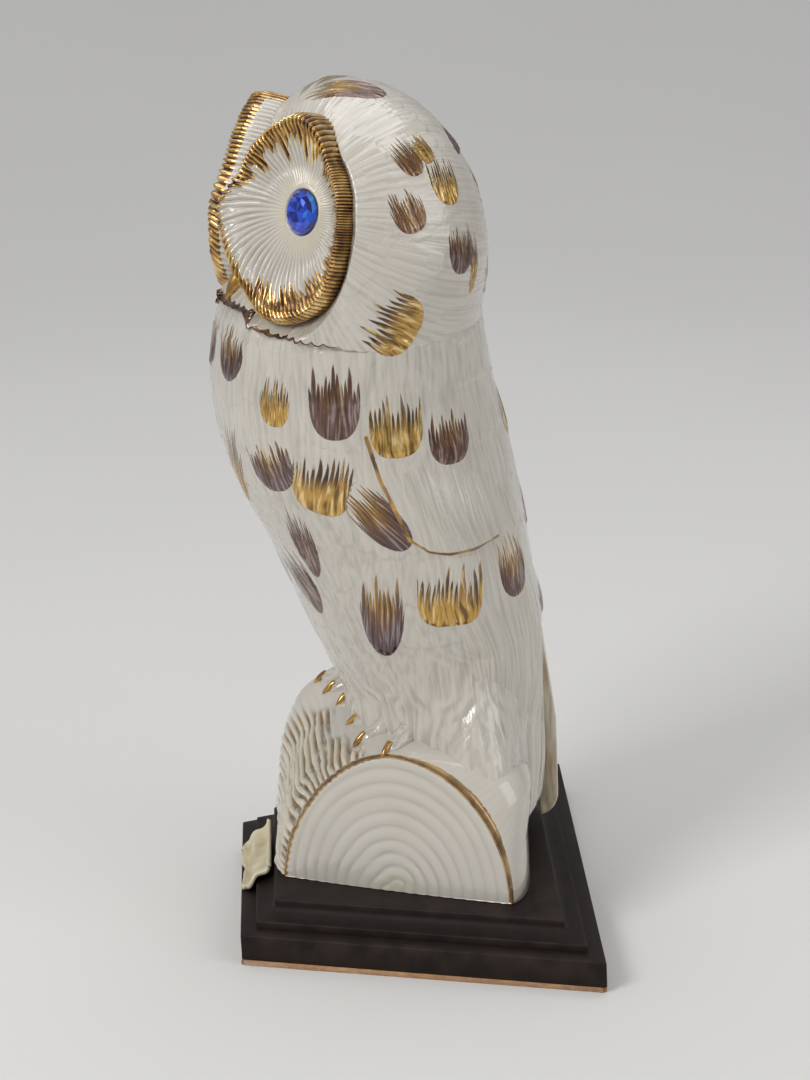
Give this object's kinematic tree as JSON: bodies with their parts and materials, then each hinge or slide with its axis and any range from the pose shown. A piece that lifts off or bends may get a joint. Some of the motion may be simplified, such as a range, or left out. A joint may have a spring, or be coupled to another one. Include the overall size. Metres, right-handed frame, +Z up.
{
  "type": "owl figurine",
  "caption": "Glazed porcelain owl with cut blue stone eyes and gold lustre feather marks, perched on a half log on a stepped dark wood plinth; a shelf ornament.",
  "frame": {"origin": "centre of the bounding box at the felt's underside, the face the figurine stands on", "axes": "+Z up; -Y towards the plinth's short front side, which carries the plaque; +X towards the owl's left. The owl faces -Y turned 15 degrees towards +X"},
  "size_m": [0.186, 0.124, 0.2989],
  "materials": {
    "white_porcelain": "clear gloss glaze with gold and brown lustre feather marks",
    "gilt_porcelain": "white gloss glaze with gold lustre rims and claws",
    "gold_lustre": "bright gold lustre over glaze",
    "blue_crystal": "cut and polished, foil backed",
    "dark_stained_wood": "dark stain, satin lacquer",
    "plain_wood": "sawn, unfinished",
    "parchment": "satin cream glaze, bare of lettering",
    "tan_felt": "pressed wool felt",
    "zinc_plated_steel": "zinc plated"
  },
  "bodies": {
    "root": {"plinth": "dark_stained_wood", "felt_pad": "tan_felt", "plaque": "parchment", "log": "white_porcelain", "anchor_block": "plain_wood", "base_screw_1": "zinc_plated_steel", "base_screw_2": "zinc_plated_steel", "base_washer_1": "zinc_plated_steel", "base_washer_2": "zinc_plated_steel", "torso": "white_porcelain", "tail": "white_porcelain", "left_wing": "white_porcelain", "right_wing": "white_porcelain", "left_foot": "gilt_porcelain", "right_foot": "gilt_porcelain", "head": "white_porcelain", "left_facial_disc": "gilt_porcelain", "right_facial_disc": "gilt_porcelain", "left_eye_stone": "blue_crystal", "right_eye_stone": "blue_crystal", "beak": "gold_lustre"}
  },
  "joints": []
}
